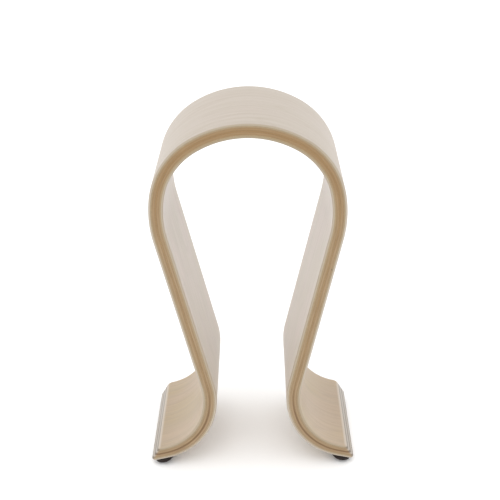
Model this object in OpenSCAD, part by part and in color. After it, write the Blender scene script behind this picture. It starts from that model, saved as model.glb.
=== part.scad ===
// Headphone stand: one band of seven bent birch veneers, standing on four rubber bumpers.
// Z = 0 is the floor, X = 0 the plane between the two legs and Y = 0 the middle of the depth.

/* [Band] */
// Depth of the band, from its front edge to its rear edge
band_depth = 96; // [80:1:120]
// Thickness of one veneer; there are seven
ply_t = 1.5; // [1.3:0.05:1.7]

/* [Arch] */
// Radius of the crown, to the middle of the band
crown_r = 73.2; // [68:0.1:80]
// Angle from the top of the crown to where the shoulder starts
crown_turn = 31.5; // [25:0.5:38]
// Radius of the shoulder, the tightest part of the arch
shoulder_r = 53.5; // [48:0.5:60]
// Angle that the shoulder turns through
shoulder_turn = 48.5; // [42:0.5:54]
// Radius of the haunch, which leads down into the leg
haunch_r = 80.5; // [70:0.5:95]
// Angle that the haunch turns through
haunch_turn = 23.5; // [18:0.5:26]

/* [Legs and feet] */
// Straight length of a leg
leg_length = 123.5; // [100:0.5:140]
// Radius of the knee, where the leg starts to turn out
knee_r = 53; // [46:0.5:60]
// Angle that the knee turns through
knee_turn = 36; // [28:0.5:42]
// Radius of the heel, which leads out into the foot
heel_r = 45.5; // [40:0.5:52]
// Angle that the heel turns through
heel_turn = 54.5; // [48:0.5:56]
// Straight length of a foot, measured before its end is cut
toe_length = 14; // [12:0.5:24]
// Angle between a foot's sloping end and a square cut
toe_bevel = 44; // [20:1:50]
// How far the sharp lower corner of a foot's end is taken back
toe_nose = 1.8; // [0.5:0.1:2.4]
// Radius of a foot's outer corners, seen from above
toe_corner_r = 3; // [1:0.5:6]

/* [Bumpers] */
// Diameter of a rubber bumper
bumper_d = 15; // [10:0.5:15]
// Height of a rubber bumper
bumper_h = 6; // [4.5:0.1:7]
// Height of a bumper's straight side, below its dome
bumper_side = 2.5; // [1:0.1:3]
// How far the weight of the stand flattens a dome
bumper_settle = 0.15; // [0.05:0.05:0.3]
// From the sharp corner of a foot's end to a bumper's centre, along the underside
bumper_inset = 10.5; // [9:0.5:14]
// From the band's front or rear edge to a bumper's centre
bumper_setback = 7.5; // [7.5:0.5:20]
// Diameter of the adhesive pad under a bumper
pad_d = 12; // [8:0.5:13]
// Thickness of the adhesive pad
pad_t = 0.3; // [0.2:0.05:0.6]

/* [Hidden] */
$fn = 96;

LEFT = -1;
RIGHT = 1;
FRONT = -1;
REAR = 1;
PLIES = 7;
PALE = [0.85, 0.80, 0.72];
TAN = [0.70, 0.58, 0.43];
HONEY = [0.75, 0.65, 0.50];
BLACK = [0.12, 0.10, 0.09];
GREY = [0.55, 0.55, 0.53];

band_t = PLIES * ply_t;
half_t = band_t / 2;
half_depth = band_depth / 2;

// The largest turn between two places on a bend
bend_step = 3;

// The middle line of the right half, from the top of the crown to the start of the toe. Each
// stretch is [radius, turn] or, for a straight one, [0, length]. A negative radius has its
// centre inside the arch and a positive one has it outside.
STRETCHES = [
    [-crown_r, crown_turn], [-shoulder_r, shoulder_turn], [-haunch_r, haunch_turn],
    [0, leg_length],
    [knee_r, knee_turn], [heel_r, heel_turn]
];

// A place on the line is [x, z, heading]. The heading is 0 at the crown and falls as the line
// turns down, and across(heading) points out of the arch, square to the line.
function across(heading) = [-sin(heading), cos(heading)];
function along(heading) = [cos(heading), sin(heading)];
function point(place, offset) = [place[0], place[1]] + offset * across(place[2]);
function on_straight(place, length) =
    let (end = point(place, 0) + length * along(place[2])) [end[0], end[1], place[2]];
function on_bend(place, radius, turn) =
    let (heading = place[2] + sign(radius) * turn,
         end = point(place, radius) - radius * across(heading))
    [end[0], end[1], heading];
function stretch_end(place, stretch) =
    stretch[0] == 0 ? on_straight(place, stretch[1]) : on_bend(place, stretch[0], stretch[1]);
function place_after(start, count) =
    count == 0 ? start : stretch_end(place_after(start, count - 1), STRETCHES[count - 1]);

// The toe starts where the stretches end. Its own end is cut to a slope, so each ply stops a
// little short of the one below it, and the lowest corner is blunted.
TOE_FROM_CROWN = place_after([0, 0, 0], len(STRETCHES));
foot_slope = -TOE_FROM_CROWN[2];
nose_offset = toe_nose / tan(toe_bevel) - half_t;
function toe_reach(offset) = toe_length - max(toe_nose, (offset + half_t) * tan(toe_bevel));

// Where a bumper's axis meets the wood, seen from the crown
bumper_seat = point(on_straight(TOE_FROM_CROWN, toe_length - bumper_inset), -half_t);

// The dome of a bumper, and how far below its seat the lowest point lies
dome_h = bumper_h - bumper_side;
dome_r = (pow(bumper_d / 2, 2) + pow(dome_h, 2)) / (2 * dome_h);
dome_centre = pad_t + bumper_h - dome_r;
bumper_reach = dome_centre * cos(foot_slope) + dome_r - bumper_settle;

crown_z = bumper_reach - bumper_seat[1];
CROWN = [0, crown_z, 0];
TOE = place_after(CROWN, len(STRETCHES));

// Places along one stretch, without its end, close enough together to look round
function stretch_places(start, stretch) =
    let (steps = stretch[0] == 0 ? 1 : ceil(stretch[1] / bend_step))
    [for (i = [0 : steps - 1]) stretch_end(start, [stretch[0], stretch[1] * i / steps])];
PLACES = [
    for (i = [0 : len(STRETCHES) - 1])
        for (place = stretch_places(place_after(CROWN, i), STRETCHES[i])) place
];

function reversed(list) = [for (i = [len(list) - 1 : -1 : 0]) list[i]];
function mirrored(points) = [for (p = points) [-p[0], p[1]]];

// One side of the right half at an offset from the middle line, without the cut end
function side_line(offset) = [for (place = concat(PLACES, [TOE])) point(place, offset)];

// The cut end of one ply, from its inner side to its outer side
function toe_line(low, high) = [
    for (offset = [low, nose_offset, high])
        if (offset == low || offset == high || (offset > low && offset < high))
            point(on_straight(TOE, toe_reach(offset)), offset)
];

// The outline of one ply, bent to shape: down the inside of the right half, round its end, up
// the outside, and the same mirrored. Ply 0 is the innermost.
function ply_outline(index) =
    let (low = index * ply_t - half_t,
         high = low + ply_t,
         right = concat(side_line(low), toe_line(low, high), reversed(side_line(high))))
    concat(right, reversed(mirrored(right)));

// What is cut away outside a rounded corner, which lies at the origin of its own plan
module corner_waste() {
    difference() {
        translate([-toe_corner_r, -toe_corner_r]) square(2 * toe_corner_r);
        translate([-toe_corner_r, -toe_corner_r]) circle(toe_corner_r);
    }
}

// The corners follow the sloping cut of a foot's end, and stand upright on its blunted nose
module toe_corners() {
    for (x_side = [LEFT, RIGHT], y_end = [FRONT, REAR])
        scale([x_side, y_end, 1])
            translate([TOE[0], half_depth, TOE[1]])
                rotate([0, foot_slope, 0]) {
                    translate([toe_length, 0, -half_t])
                        rotate([0, -toe_bevel, 0])
                            linear_extrude(height = 4 * band_t, center = true) corner_waste();
                    translate([toe_length - toe_nose, 0, -half_t])
                        linear_extrude(height = 2 * band_t, center = true) corner_waste();
                }
}

module ply(index) {
    difference() {
        rotate([90, 0, 0])
            linear_extrude(height = band_depth, center = true) polygon(ply_outline(index));
        toe_corners();
    }
}

module inner_face_veneer() { color(PALE) ply(0); }
module inner_cross_ply() { color(TAN) ply(1); }
module inner_long_ply() { color(HONEY) ply(2); }
module centre_cross_ply() { color(TAN) ply(3); }
module outer_long_ply() { color(HONEY) ply(4); }
module outer_cross_ply() { color(TAN) ply(5); }
module outer_face_veneer() { color(PALE) ply(6); }

// Puts what is drawn pointing down from the origin square to the underside of a foot
module under_foot(side, end) {
    translate([side * bumper_seat[0], end * (half_depth - bumper_setback), crown_z + bumper_seat[1]])
        rotate([180, side * -foot_slope, 0]) children();
}

module bumper(side, end) {
    color(BLACK)
        difference() {
            under_foot(side, end)
                intersection() {
                    translate([0, 0, pad_t]) cylinder(h = bumper_h, d = bumper_d);
                    translate([0, 0, dome_centre]) sphere(r = dome_r);
                }
            translate([-band_depth, -band_depth, -bumper_h])
                cube([2 * band_depth, 2 * band_depth, bumper_h]);
        }
}

module pad(side, end) {
    color(GREY) under_foot(side, end) cylinder(h = pad_t, d = pad_d);
}

module bumper_left_front() { bumper(LEFT, FRONT); }
module bumper_left_rear() { bumper(LEFT, REAR); }
module bumper_right_front() { bumper(RIGHT, FRONT); }
module bumper_right_rear() { bumper(RIGHT, REAR); }
module pad_left_front() { pad(LEFT, FRONT); }
module pad_left_rear() { pad(LEFT, REAR); }
module pad_right_front() { pad(RIGHT, FRONT); }
module pad_right_rear() { pad(RIGHT, REAR); }

outer_face_veneer();
outer_cross_ply();
outer_long_ply();
centre_cross_ply();
inner_long_ply();
inner_cross_ply();
inner_face_veneer();
bumper_left_front();
bumper_left_rear();
bumper_right_front();
bumper_right_rear();
pad_left_front();
pad_left_rear();
pad_right_front();
pad_right_rear();
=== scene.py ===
import math

import bmesh
import bpy
from mathutils import Matrix, Vector


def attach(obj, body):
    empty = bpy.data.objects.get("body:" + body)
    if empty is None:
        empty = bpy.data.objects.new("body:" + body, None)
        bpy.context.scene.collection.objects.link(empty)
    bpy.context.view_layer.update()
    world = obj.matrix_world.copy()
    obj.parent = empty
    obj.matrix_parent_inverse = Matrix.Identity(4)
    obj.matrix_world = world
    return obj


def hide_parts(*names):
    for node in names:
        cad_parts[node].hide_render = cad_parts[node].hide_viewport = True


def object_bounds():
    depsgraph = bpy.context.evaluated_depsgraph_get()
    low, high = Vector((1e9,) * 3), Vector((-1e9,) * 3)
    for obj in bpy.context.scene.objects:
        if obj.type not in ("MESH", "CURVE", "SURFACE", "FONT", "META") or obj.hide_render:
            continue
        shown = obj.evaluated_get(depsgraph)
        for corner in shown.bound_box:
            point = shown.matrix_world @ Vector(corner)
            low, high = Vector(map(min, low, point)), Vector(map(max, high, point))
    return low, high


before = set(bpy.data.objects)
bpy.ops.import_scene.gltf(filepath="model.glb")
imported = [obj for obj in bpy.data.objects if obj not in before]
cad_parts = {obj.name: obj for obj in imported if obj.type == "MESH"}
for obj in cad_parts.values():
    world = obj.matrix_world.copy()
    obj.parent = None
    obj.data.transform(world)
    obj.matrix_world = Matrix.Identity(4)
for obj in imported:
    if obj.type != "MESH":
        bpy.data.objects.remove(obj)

cad_low, cad_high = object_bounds()


# ---- Inner face veneer --------------------------------------------------------------------
# The band is seven sheets of birch, glued face to face and pressed round a mould. This one lies
# against the mould, so it shows inside the arch and under the feet. Its rims are sanded round,
# and the sharp lower corner of each sloping end is blunted.

PLY_THICKNESS = 0.0015
BAND_THICKNESS = 7 * PLY_THICKNESS
BAND_DEPTH = cad_high.y - cad_low.y
CROWN_HEIGHT = cad_high.z - BAND_THICKNESS / 2

# The mould from the top of the crown to the start of a toe: (radius, turn in degrees), or
# (0, length) where it is straight. A negative radius has its centre inside the arch.
MOULD = [
    (-0.0732, 31.5), (-0.0535, 48.5), (-0.0805, 23.5),
    (0, 0.1235),
    (0.053, 36), (0.0455, 54.5),
]
TOE_LENGTH = 0.014
TOE_SLOPE = math.tan(math.radians(44))
TOE_NOSE = 0.0018
TOE_CORNER = 0.003

# The level in the band, from its middle, at which a foot's sloping end meets the blunt nose
NOSE_LEVEL = TOE_NOSE / TOE_SLOPE - BAND_THICKNESS / 2

# Roundings of the sanded rims, of the blunted corner, and of an edge along a glue line
RIM_ROUND = 0.0011
NOSE_ROUND = 0.0007
GLUE_EASE = 0.00006

# The largest turn between two cuts across a bend, the cuts across a straight leg, and the
# straight steps that make a round corner
BEND_STEP = math.radians(1.5)
LEG_CUTS = 12
CORNER_STEPS = 6

# The grain is laid out in millimetres
MM = 1000

# How thick the lacquer lies, from 0, none, to 1
SATIN_COAT = 0.5


def run_length(radius, amount):
    """Length of one part of the mould"""
    return abs(radius) * math.radians(amount) if radius else amount


def mould_runs():
    """Runs from the crown at which a sheet must be able to bend, and the run where a toe starts"""
    runs, start = [], 0.0
    for radius, amount in MOULD:
        length = run_length(radius, amount)
        cuts = math.ceil(math.radians(amount) / BEND_STEP) if radius else LEG_CUTS
        runs += [start + length * i / cuts for i in range(cuts)]
        start += length
    return runs + [start], start


MOULD_CUTS, TOE_START = mould_runs()


def on_mould(run, offset):
    """Where a point of the right half comes to lie: its run from the crown and its offset from
    the middle of the band give its distance from the middle plane and its height"""
    x, z, heading = 0.0, CROWN_HEIGHT, 0.0
    for radius, amount in MOULD:
        step = min(run, run_length(radius, amount))
        turned = heading + step / radius if radius else heading
        if radius:
            x += radius * (math.sin(turned) - math.sin(heading))
            z += radius * (math.cos(heading) - math.cos(turned))
        else:
            x += step * math.cos(heading)
            z += step * math.sin(heading)
        heading = turned
        run -= step
    x += run * math.cos(heading) - offset * math.sin(heading)
    z += run * math.sin(heading) + offset * math.cos(heading)
    return x, z


def toe_end(offset):
    """Run from the crown to the cut end of a foot at that offset"""
    back = (offset + BAND_THICKNESS / 2) * TOE_SLOPE
    return TOE_START + TOE_LENGTH - max(TOE_NOSE, back)


def blank_outline(offset):
    """Outline of the flat band at one level, as (run, y): long sides, and round corners that
    are longer where the end slopes"""
    lean = math.sqrt(1 + TOE_SLOPE ** 2) if offset > NOSE_LEVEL + GLUE_EASE else 1.0
    corner = []
    for i in range(CORNER_STEPS + 1):
        angle = math.radians(90 * i / CORNER_STEPS)
        corner.append((toe_end(offset) - TOE_CORNER * lean * (1 - math.cos(angle)),
                       BAND_DEPTH / 2 - TOE_CORNER * (1 - math.sin(angle))))
    rear = corner + [(-run, y) for run, y in reversed(corner)]
    return rear + [(-run, -y) for run, y in rear]


def apply_stack(piece):
    """Makes what the modifiers show the piece's own mesh"""
    shown = piece.evaluated_get(bpy.context.evaluated_depsgraph_get())
    made = bpy.data.meshes.new_from_object(shown)
    made.name = piece.name
    piece.modifiers.clear()
    old, piece.data = piece.data, made
    bpy.data.meshes.remove(old)


def pressed_sheet(name, index, low_round, high_round):
    """One ply: a flat blank with its edges rounded, cut where it bends and pressed round the
    mould. The two radii are for the edges of its inner and its outer face."""
    low = index * PLY_THICKNESS - BAND_THICKNESS / 2
    high = low + PLY_THICKNESS
    levels = [low, NOSE_LEVEL, high] if low < NOSE_LEVEL < high else [low, high]
    rounds = {low: low_round, NOSE_LEVEL: NOSE_ROUND, high: high_round}

    sheet = bmesh.new()
    rings = [[sheet.verts.new((run, y, level)) for run, y in blank_outline(level)]
             for level in levels]
    sheet.faces.new(reversed(rings[0]))
    sheet.faces.new(rings[-1])
    for under, over in zip(rings, rings[1:]):
        for i in range(len(under)):
            sheet.faces.new((under[i - 1], under[i], over[i], over[i - 1]))
    widest = max(rounds[level] for level in levels)
    weight = sheet.edges.layers.float.new("bevel_weight_edge")
    for level, ring in zip(levels, rings):
        for i in range(len(ring)):
            edge = sheet.edges.get((ring[i - 1], ring[i]))
            on_toe = min(abs(v.co.x) for v in edge.verts) > TOE_START
            edge[weight] = rounds[level] / widest if level != NOSE_LEVEL or on_toe else 0.0
    mesh = bpy.data.meshes.new(name)
    sheet.to_mesh(mesh)
    sheet.free()
    piece = bpy.data.objects.new(name, mesh)
    bpy.context.scene.collection.objects.link(piece)
    round_off = piece.modifiers.new("rounded edges", "BEVEL")
    round_off.limit_method = "WEIGHT"
    round_off.width = widest
    round_off.segments = 5
    apply_stack(piece)

    # Cuts across the sheet where it bends, and a few near its edges that keep its middle flat
    sheet = bmesh.new()
    sheet.from_mesh(piece.data)
    runs = MOULD_CUTS[1:] + [toe_end(high) - 2 * RIM_ROUND]
    keep = BAND_DEPTH / 2 - 2 * RIM_ROUND
    cuts = [((0, 0, 0), (1, 0, 0))]
    cuts += [((side * run, 0, 0), (1, 0, 0)) for run in runs for side in (-1, 1)]
    cuts += [((0, side * keep, 0), (0, 1, 0)) for side in (-1, 1)]
    for place, normal in cuts:
        everything = sheet.verts[:] + sheet.edges[:] + sheet.faces[:]
        bmesh.ops.bisect_plane(sheet, geom=everything, dist=1e-7, plane_co=place, plane_no=normal)

    # The flat place of each point, in millimetres, stays with it for the grain
    flat = sheet.verts.layers.float_vector.new("sheet")
    for vertex in sheet.verts:
        run, y, offset = vertex.co
        vertex[flat] = Vector((run, y, offset + BAND_THICKNESS / 2)) * MM
        x, z = on_mould(abs(run), offset)
        vertex.co = (math.copysign(x, run), y, z)
    for face in sheet.faces:
        face.smooth = True
    sheet.to_mesh(piece.data)
    sheet.free()
    piece.data.set_sharp_from_angle(angle=math.radians(40))
    return piece


class Wire:
    """An output of a node in one finish. Arithmetic on it adds Math nodes after it."""

    def __init__(self, tree, socket=None):
        self.tree, self.socket = tree, socket

    def node(self, kind, settings, sockets, out=0):
        """Adds a node with its settings, then the values or wires of its sockets"""
        made = self.tree.nodes.new(kind)
        for name, value in settings.items():
            setattr(made, name, value)
        for name, value in sockets.items():
            if isinstance(value, Wire):
                self.tree.links.new(value.socket, made.inputs[name])
            else:
                made.inputs[name].default_value = value
        return Wire(self.tree, made.outputs[out])

    def math(self, operation, first, second=0.0):
        """Any Math node, for what the operators below don't cover"""
        return self.node("ShaderNodeMath", {"operation": operation}, {0: first, 1: second})

    def __add__(self, other):
        return self.math("ADD", self, other)

    def __radd__(self, other):
        return self.math("ADD", other, self)

    def __sub__(self, other):
        return self.math("SUBTRACT", self, other)

    def __rsub__(self, other):
        return self.math("SUBTRACT", other, self)

    def __mul__(self, other):
        return self.math("MULTIPLY", self, other)

    def __rmul__(self, other):
        return self.math("MULTIPLY", other, self)

    def __abs__(self):
        return self.math("ABSOLUTE", self)

    def part(self, index):
        """The x, y or z of this place"""
        return self.node("ShaderNodeSeparateXYZ", {}, {0: self}, index)

    def step(self, low, high):
        """0 below low and 1 above high, with a soft rise between; low may be above high"""
        return self.node("ShaderNodeMapRange", {"interpolation_type": "SMOOTHSTEP"},
                         {"Value": self, "From Min": low, "From Max": high})

    def mix(self, under, over):
        """Colours: under where this wire is 0 and over where it is 1"""
        return self.node("ShaderNodeMix", {"data_type": "RGBA"}, {0: self, 6: under, 7: over}, 2)

    def stretched(self, *scales):
        """This place multiplied by a number on each axis"""
        return self.node("ShaderNodeVectorMath", {"operation": "MULTIPLY"}, {0: self, 1: scales})

    def noise(self, detail=2.0, roughness=0.5, distortion=0.0):
        """Soft noise at this place, mostly between 0.3 and 0.7"""
        return self.node("ShaderNodeTexNoise", {"noise_dimensions": "3D"},
                         {"Vector": self, "Scale": 1.0, "Detail": detail,
                          "Roughness": roughness, "Distortion": distortion})


def colour(red, green, blue):
    """A colour given in the usual 0 to 255, as the shader wants it"""
    def linear(level):
        level /= 255
        return level / 12.92 if level < 0.04045 else ((level + 0.055) / 1.055) ** 2.4
    return (linear(red), linear(green), linear(blue), 1.0)


def new_finish(name):
    """An empty material, and a wire to build it with"""
    finish = bpy.data.materials.new(name)
    finish.use_nodes = True
    return finish, Wire(finish.node_tree)


def dress(wire, tone, sheen, height, strength, depth):
    """Gives a finish its colour, its roughness, and dents of a depth in metres"""
    dents = wire.node("ShaderNodeBump", {}, {"Strength": strength, "Distance": depth, "Height": height})
    shader = wire.tree.nodes["Principled BSDF"]
    for socket, value in (("Base Color", tone), ("Roughness", sheen), ("Normal", dents)):
        wire.tree.links.new(value.socket, shader.inputs[socket])
    return shader


def lacquer(shader, amount):
    """A satin coat over the wood"""
    shader.inputs["Coat Weight"].default_value = amount
    shader.inputs["Coat Roughness"].default_value = 0.3


def flat_place(wire):
    """Where a point lay in the flat sheet, in millimetres: along, across, and from the mould"""
    return wire.node("ShaderNodeAttribute", {"attribute_name": "sheet"}, {}, "Vector")


def edgewise(wire):
    """1 where the surface faces straight to the front or the rear, 0 where it faces neither"""
    facing = wire.node("ShaderNodeNewGeometry", {}, {}, "Normal")
    return abs(facing.part(1))


def from_cut(sheet):
    """Millimetres along the band to the sloping cut at the end of a foot"""
    to_tip = (TOE_START + TOE_LENGTH) * MM - abs(sheet.part(0))
    return to_tip - sheet.part(2) * TOE_SLOPE


def birch_face(name, coat):
    """Pale birch under satin lacquer, with its grain along the band and painted light on its rims"""
    finish, wire = new_finish(name)
    sheet = flat_place(wire)
    outer = sheet.part(2).step(4, 6)

    # In millimetres along the band: the arch ends near 118, a leg near 242 and a foot at 333
    from_crown = abs(sheet.part(0))

    clouds = sheet.stretched(0.018, 0.035, 0.1).noise(2.0, 0.5).step(0.35, 0.65)
    streaks = sheet.stretched(0.005, 0.22, 0.3).noise(4.0, 0.6).step(0.4, 0.72)
    rings = sheet.stretched(0.006, 0.03, 0.1).noise(1.0, 0.4, 0.3)
    rings = wire.math("PINGPONG", rings * 16, 1.0).step(0.72, 1.0)
    lines = sheet.stretched(0.018, 0.8, 0.8).noise(3.0, 0.65).step(0.38, 0.68)
    fibres = sheet.stretched(0.05, 4.0, 4.0).noise(3.0, 0.6)
    pores = sheet.stretched(0.5, 6.0, 6.0).noise(1.0, 0.5).step(0.66, 0.76)
    flecks = sheet.stretched(0.14, 1.1, 1.1).noise(1.0, 0.5).step(0.73, 0.8)

    # The tone is cooler on the arch and warmer down on the feet, and greyer outside, above them
    arch = clouds.mix(colour(189, 173, 162), colour(183, 171, 155))
    feet = clouds.mix(colour(174, 153, 130), colour(172, 152, 122))
    tone = from_crown.step(110, 330).mix(arch, feet)
    tone = (outer * from_crown.step(280, 180) * 0.8).mix(tone, colour(171, 161, 150))
    tone = (streaks * 0.35).mix(tone, colour(157, 144, 125))
    tone = (rings * 0.2).mix(tone, colour(154, 139, 120))
    tone = (lines * 0.3).mix(tone, colour(147, 131, 110))
    tone = ((1 - fibres) * 0.22).mix(tone, colour(139, 124, 103))
    tone = (pores * 0.3).mix(tone, colour(123, 104, 83))
    tone = (flecks * 0.4).mix(tone, colour(130, 105, 81))

    # The sanded rims carry painted light: painted shade makes them darkest over the crown, and a
    # painted highlight makes the outer one palest down the legs and the inner one under the feet.
    outer_rim_painted_highlight = 0.4 + from_crown.step(40, 110) * from_crown.step(265, 225) * 0.6
    inner_rim_painted_highlight = from_crown.step(30, 80) * 0.45 + from_crown.step(230, 275) * 0.55
    painted_rim_highlight = outer * outer_rim_painted_highlight + (1 - outer) * inner_rim_painted_highlight
    rim_tone_with_painted_highlight = painted_rim_highlight.mix(colour(136, 121, 93), colour(166, 155, 140))
    tone = (edgewise(wire).step(0.25, 0.9) * 0.85).mix(tone, rim_tone_with_painted_highlight)
    # A painted highlight: the face veneer goes pale on its cut end and on the rounded rim beside it
    tone = (from_cut(sheet).step(1.4, 0.4) * 0.7).mix(tone, colour(178, 167, 154))

    height = fibres * 0.5 - pores * 0.8 + streaks * 0.2
    lacquer(dress(wire, tone, 0.46 + fibres * 0.1 + pores * 0.12, height, 0.25, 0.00005), coat)
    return finish


INNER_FACE = birch_face("birch face veneer, satin lacquer", SATIN_COAT)
inner_face = pressed_sheet("bent_inner_face_veneer", 0, RIM_ROUND, GLUE_EASE)
inner_face.data.materials.append(INNER_FACE)
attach(inner_face, "root")
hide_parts("inner_face_veneer")


# ---- Cross plies --------------------------------------------------------------------------
# Three core sheets with their fibres across the band. Along the front and rear edges they show
# end grain, which drinks the lacquer and goes a darker brown.

# A small gap in the edge of a ply, high on the right leg, at its place in the flat sheet
GAP_PLACE = (142.5, -BAND_DEPTH / 2 * MM, 7.9)


def birch_core(name, dark, middle, light, cut_end, fibre_scale):
    """A core sheet's wood on the front and rear edges, with another tone on the sloping cut
    ends. fibre_scale stretches its grain along the fibres."""
    finish, wire = new_finish(name)
    sheet = flat_place(wire)
    from_crown = abs(sheet.part(0))
    through = sheet.part(2)
    from_middle = abs(through - BAND_THICKNESS / 2 * MM)

    fibres = sheet.stretched(*fibre_scale).noise(3.0, 0.6)
    patches = sheet.stretched(0.06, 0.06, 0.9).noise(2.0, 0.55).step(0.35, 0.68)
    ply_part = wire.math("FRACT", through * (1 / (PLY_THICKNESS * MM)))
    from_glue = wire.math("MINIMUM", ply_part, 1 - ply_part)
    glue = from_glue.step(0.07, 0.02)

    # Darker over the arch and in the middle of the heels, paler next to the face veneers
    tone = patches.mix(middle, light)
    tone = (from_crown.step(140, 60) * 0.5).mix(tone, colour(126, 91, 31))
    heels = from_crown.step(230, 275)
    beside_face = heels.mix(colour(153, 137, 106), colour(160, 147, 124))
    beside_face = through.step(5, 6).mix(beside_face, colour(150, 136, 108))
    tone = (from_middle.step(1.9, 3.4) * 0.75).mix(tone, beside_face)
    tone = (fibres.step(0.62, 0.35) * 0.4).mix(tone, dark)
    tone = (heels * from_middle.step(0.7, 0.3) * 0.8).mix(tone, colour(92, 59, 19))
    tone = (edgewise(wire).step(0.95, 0.5) * 0.85).mix(tone, cut_end)
    tone = (glue * 0.5).mix(tone, colour(88, 63, 33))

    gap = wire.node("ShaderNodeVectorMath", {"operation": "DISTANCE"},
                    {0: sheet, 1: GAP_PLACE}, "Value").step(0.8, 0.4)
    tone = (gap * 0.6).mix(tone, colour(75, 64, 44))

    height = fibres - glue * 0.6 - gap * 3
    lacquer(dress(wire, tone, 0.5 + fibres * 0.12, height, 0.4, 0.00006), SATIN_COAT)
    return finish


CROSS_PLY = birch_core("birch cross ply, end grain", colour(98, 66, 24), colour(131, 104, 65),
                       colour(141, 114, 74), colour(106, 96, 84), (3.0, 0.05, 3.0))
for index, node in ((1, "inner_cross_ply"), (3, "centre_cross_ply"), (5, "outer_cross_ply")):
    cross = pressed_sheet("bent_" + node, index, GLUE_EASE, GLUE_EASE)
    cross.data.materials.append(CROSS_PLY)
    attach(cross, "root")
    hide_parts(node)


# ---- Long plies ---------------------------------------------------------------------------
# Two core sheets with their fibres along the band, between the cross plies. Their edges are
# cut along the fibres, so they show fine straight lines and stay lighter.

LONG_PLY = birch_core("birch long ply, side grain", colour(114, 90, 55), colour(138, 113, 78),
                      colour(150, 125, 91), colour(162, 154, 144), (0.05, 3.0, 5.0))
for index, node in ((2, "inner_long_ply"), (4, "outer_long_ply")):
    long_ply = pressed_sheet("bent_" + node, index, GLUE_EASE, GLUE_EASE)
    long_ply.data.materials.append(LONG_PLY)
    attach(long_ply, "root")
    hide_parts(node)


# ---- Outer face veneer --------------------------------------------------------------------
# The last sheet into the press, and the one that a headband lies on. It shows on top of the
# arch, outside the legs and on top of the feet. Its rims are sanded round, and its lacquer is
# rubbed down thinner than inside the arch.

RUBBED_COAT = 0.25

OUTER_FACE = birch_face("birch face veneer, rubbed lacquer", RUBBED_COAT)
outer_face = pressed_sheet("bent_outer_face_veneer", 6, GLUE_EASE, RIM_ROUND)
outer_face.data.materials.append(OUTER_FACE)
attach(outer_face, "root")
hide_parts("outer_face_veneer")


# ---- Adhesive pads ------------------------------------------------------------------------
# Four thin discs of double-sided foam tape under the feet, square to the wood. Each holds one
# bumper.

# What the turns of the mould leave over, by which the feet rise towards the heels
FOOT_SLOPE = math.radians(sum(math.copysign(turn, -radius) for radius, turn in MOULD if radius))

# From the tip of the foot, and from its front or rear edge
BUMPER_INSET = 0.0105
BUMPER_SETBACK = 0.0075

PAD_RADIUS = 0.006
PAD_THICKNESS = 0.0003
PAD_EASE = 0.2 * PAD_THICKNESS
PAD_SIDES = 48
PAD_PROFILE = [
    (0, 0), (PAD_RADIUS - PAD_EASE, 0), (PAD_RADIUS, -PAD_EASE),
    (PAD_RADIUS, PAD_EASE - PAD_THICKNESS), (PAD_RADIUS - PAD_EASE, -PAD_THICKNESS),
    (0, -PAD_THICKNESS),
]

CORNERS = [(side, end) for side in ("left", "right") for end in ("front", "rear")]


def under_foot(side, end):
    """Where a pad and its bumper go: near a corner of a foot, square to its underside"""
    x, z = on_mould(TOE_START + TOE_LENGTH - BUMPER_INSET, -BAND_THICKNESS / 2)
    sign = {"left": -1, "right": 1}[side]
    y = (BAND_DEPTH / 2 - BUMPER_SETBACK) * {"front": -1, "rear": 1}[end]
    return Matrix.Translation((sign * x, y, z)) @ Matrix.Rotation(sign * FOOT_SLOPE, 4, "Y")


def turned_piece(name, profile, steps):
    """Turns a profile of (radius, height) points, listed from top to bottom, round its own axis"""
    mesh = bpy.data.meshes.new(name)
    mesh.from_pydata([(radius, 0, z) for radius, z in profile],
                     [(i, i + 1) for i in range(len(profile) - 1)], [])
    piece = bpy.data.objects.new(name, mesh)
    bpy.context.scene.collection.objects.link(piece)
    lathe = piece.modifiers.new("turned", "SCREW")
    lathe.steps = lathe.render_steps = steps
    lathe.use_merge_vertices = True
    lathe.merge_threshold = 1e-6
    apply_stack(piece)
    return piece


def foam_tape():
    """Grey tape with fine open cells"""
    finish, wire = new_finish("grey foam tape")
    place = wire.node("ShaderNodeTexCoord", {}, {}, "Object")
    cells = place.stretched(5000, 5000, 5000).noise(2.0, 0.6)
    tone = cells.step(0.35, 0.65).mix(colour(108, 107, 104), colour(142, 141, 138))
    dress(wire, tone, 0.7 + cells * 0.2, cells, 0.5, 0.0001)
    return finish


FOAM_TAPE = foam_tape()
for side, end in CORNERS:
    pad = turned_piece(f"adhesive_pad_{side}_{end}", PAD_PROFILE, PAD_SIDES)
    pad.data.transform(under_foot(side, end))
    pad.data.materials.append(FOAM_TAPE)
    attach(pad, "root")
    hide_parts(f"pad_{side}_{end}")


# ---- Rubber bumpers -----------------------------------------------------------------------
# Four moulded domes of dark brown rubber. They lean with the underside of the foot, and the
# weight of the stand presses a small flat where each touches the table.

BUMPER_RADIUS = 0.0075
BUMPER_HEIGHT = 0.006
BUMPER_WALL = 0.0025
BUMPER_EASE = 0.0004
BUMPER_SIDES = 64
DOME_POINTS = 14


def bumper_profile():
    """A short straight wall, then a dome whose sphere leans in from it"""
    dome = BUMPER_HEIGHT - BUMPER_WALL
    sphere = (BUMPER_RADIUS ** 2 + dome ** 2) / (2 * dome)
    centre = BUMPER_HEIGHT - sphere
    widest = math.asin(BUMPER_RADIUS / sphere)
    points = [(0, 0), (BUMPER_RADIUS - BUMPER_EASE, 0), (BUMPER_RADIUS, -BUMPER_EASE)]
    for i in range(DOME_POINTS + 1):
        angle = widest * (1 - i / DOME_POINTS)
        points.append((sphere * math.sin(angle), -centre - sphere * math.cos(angle)))
    return [(radius, z - PAD_THICKNESS) for radius, z in points]


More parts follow.
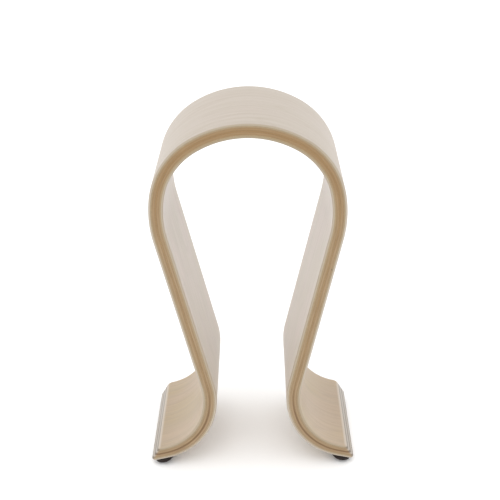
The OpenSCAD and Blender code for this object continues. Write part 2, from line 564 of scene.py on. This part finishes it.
def moulded_rubber():
    """Mottled dark rubber with a little dust on it"""
    finish, wire = new_finish("dark brown moulded rubber")
    place = wire.node("ShaderNodeTexCoord", {}, {}, "Object")
    mottle = place.stretched(420, 420, 420).noise(3.0, 0.6)
    grit = place.stretched(6000, 6000, 6000).noise(2.0, 0.6)
    dust = place.stretched(1500, 1500, 1500).noise(2.0, 0.5).step(0.6, 0.75)
    tone = mottle.step(0.3, 0.7).mix(colour(26, 18, 15), colour(38, 29, 25))
    tone = (dust * 0.12).mix(tone, colour(90, 80, 72))
    shader = dress(wire, tone, 0.42 + mottle * 0.12 + dust * 0.2, grit, 0.2, 0.00004)
    shader.inputs["Specular IOR Level"].default_value = 0.2
    return finish


RUBBER = moulded_rubber()
for side, end in CORNERS:
    bumper = turned_piece(f"rubber_bumper_{side}_{end}", bumper_profile(), BUMPER_SIDES)
    bumper.data.transform(under_foot(side, end))
    for vertex in bumper.data.vertices:
        vertex.co.z = max(vertex.co.z, 0.0)
    bumper.data.materials.append(RUBBER)
    for face in bumper.data.polygons:
        face.use_smooth = True
    bumper.data.set_sharp_from_angle(angle=math.radians(30))
    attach(bumper, "root")
    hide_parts(f"bumper_{side}_{end}")


# ---- Table, light and camera --------------------------------------------------------------
# A wide white table in a white room, with large soft lights above, to the left and to the
# right, all of them in front.

TABLE_REACH = 6.0
ROOM_LIGHT = 1.33

table_mesh = bpy.data.meshes.new("table")
table_mesh.from_pydata([(x * TABLE_REACH, y * TABLE_REACH, 0) for x, y in
                        ((-1, -1), (1, -1), (1, 1), (-1, 1))], [], [(0, 1, 2, 3)])
table = bpy.data.objects.new("table", table_mesh)
bpy.context.scene.collection.objects.link(table)
white, wire = new_finish("white table")
place = wire.node("ShaderNodeTexCoord", {}, {}, "Object")
speckle = place.stretched(300, 300, 300).noise(2.0, 0.5)
tone = speckle.mix((0.96, 0.96, 0.96, 1), (0.98, 0.98, 0.98, 1))
matt = dress(wire, tone, 0.75 + speckle * 0.1, speckle, 0.05, 0.0001)
matt.inputs["Specular IOR Level"].default_value = 0.1
table_mesh.materials.append(white)

room = bpy.data.worlds.new("white room")
room.use_nodes = True
room.node_tree.nodes["Background"].inputs["Color"].default_value = (1, 1, 1, 1)
room.node_tree.nodes["Background"].inputs["Strength"].default_value = ROOM_LIGHT
bpy.context.scene.world = room
bpy.context.scene.view_settings.view_transform = "Standard"


def soft_light(name, size, power, place, target):
    """A round light at a place, turned to shine on a target"""
    lamp = bpy.data.lights.new(name, "AREA")
    lamp.shape = "DISK"
    lamp.size = size
    lamp.energy = power
    holder = bpy.data.objects.new(name, lamp)
    bpy.context.scene.collection.objects.link(holder)
    away = Vector(place) - Vector(target)
    holder.matrix_world = Matrix.Translation(place) @ away.to_track_quat("Z", "Y").to_matrix().to_4x4()


soft_light("softbox above", size=0.9, power=3.0, place=(-0.35, -1.0, 1.9), target=(0, 0, 0.15))
soft_light("softbox left", size=1.0, power=3.0, place=(-0.95, -1.2, 0.45), target=(0, 0, 0.13))
soft_light("softbox right", size=1.0, power=1.2, place=(0.95, -1.2, 0.45), target=(0, 0, 0.13))

CAMERA_PLACE = (0.0083, -0.6898, CROWN_HEIGHT + 0.2039)
LOOKS_DOWN = math.radians(24.41)
TURNED_LEFT = math.radians(0.65)
LEANS = math.radians(-1.11)
LENS = 71.9

camera_data = bpy.data.cameras.new("camera")
camera_data.sensor_width = 36
camera_data.lens = LENS
camera_data.clip_start = 0.05
camera = bpy.data.objects.new("camera", camera_data)
bpy.context.scene.collection.objects.link(camera)
camera.matrix_world = (
    Matrix.Translation(CAMERA_PLACE)
    @ Matrix.Rotation(TURNED_LEFT, 4, "Z")
    @ Matrix.Rotation(math.pi / 2 - LOOKS_DOWN, 4, "X")
    @ Matrix.Rotation(LEANS, 4, "Z"))
bpy.context.scene.camera = camera
